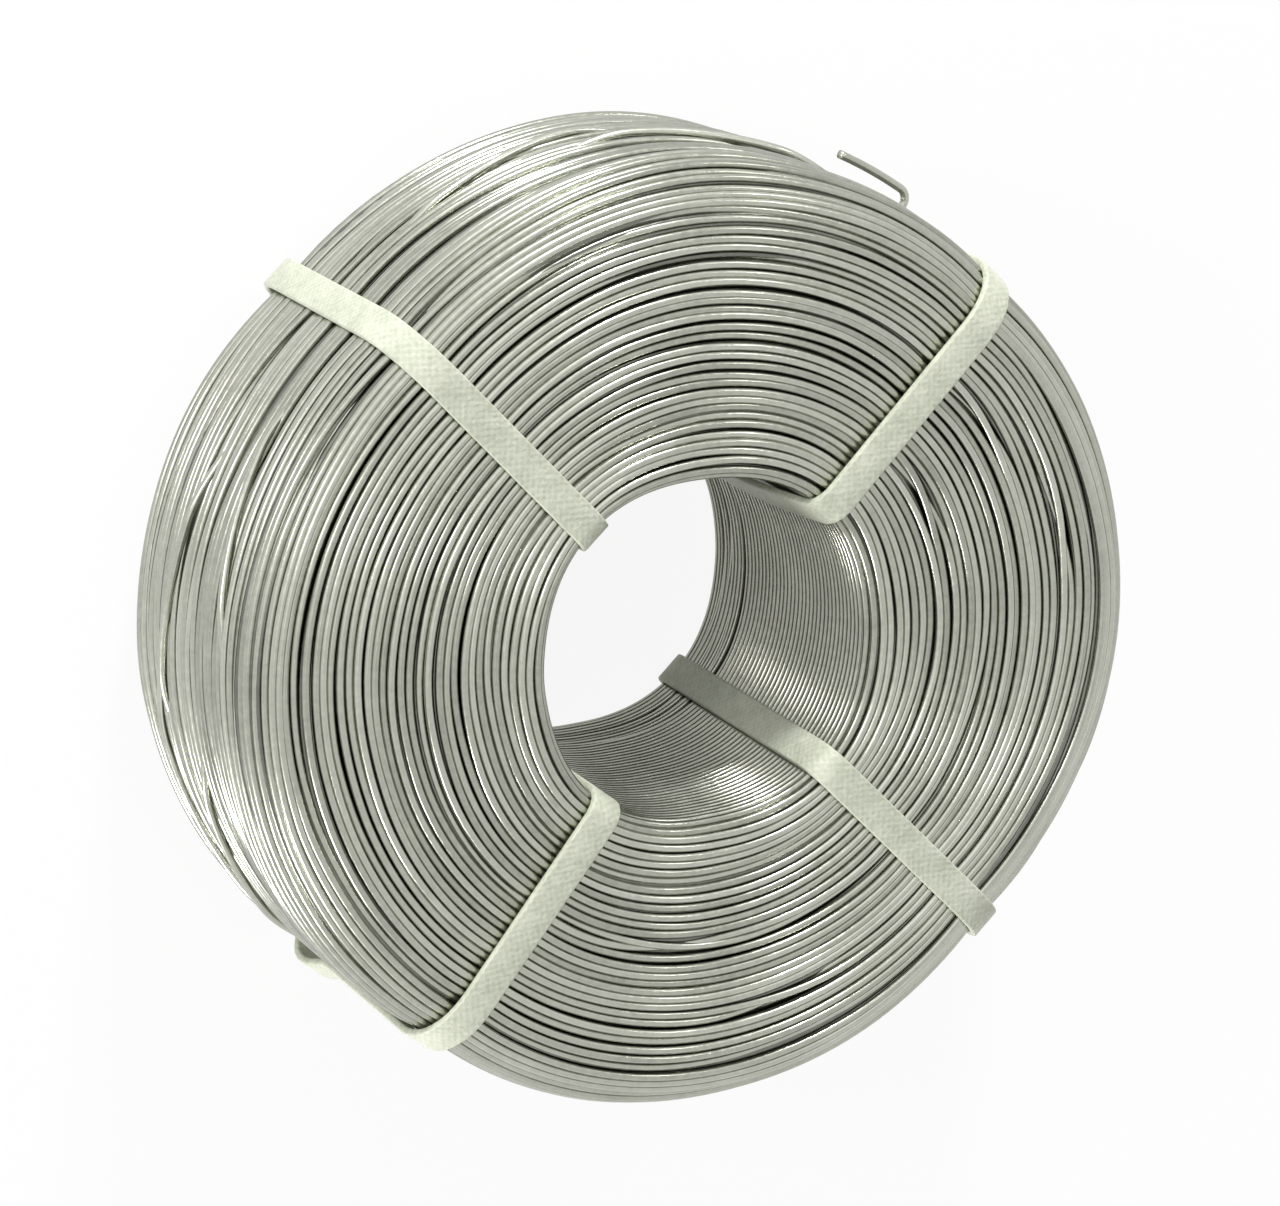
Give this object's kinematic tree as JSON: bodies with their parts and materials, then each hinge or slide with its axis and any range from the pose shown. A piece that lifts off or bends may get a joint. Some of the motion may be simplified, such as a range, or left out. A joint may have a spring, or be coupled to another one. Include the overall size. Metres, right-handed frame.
{
  "type": "stainless steel wire coil",
  "caption": "Coil of bare stainless steel wire, level wound with a round bore and held by flat plastic straps, lying on its end.",
  "frame": {"origin": "on the floor, in the middle of the coil's lower end", "axes": "+Z up along the coil's axis from its back end to its front end, +X to the right and +Y up seen from the front"},
  "size_m": [0.128, 0.128, 0.0511],
  "materials": {
    "steel_wire": "bare drawn wire, satin",
    "strap": "lightly embossed, satin"
  },
  "bodies": {
    "root": {"wire_coil": "steel_wire", "strap_upper_right": "strap", "strap_upper_left": "strap", "strap_lower_left": "strap", "strap_lower_right": "strap"}
  },
  "joints": []
}
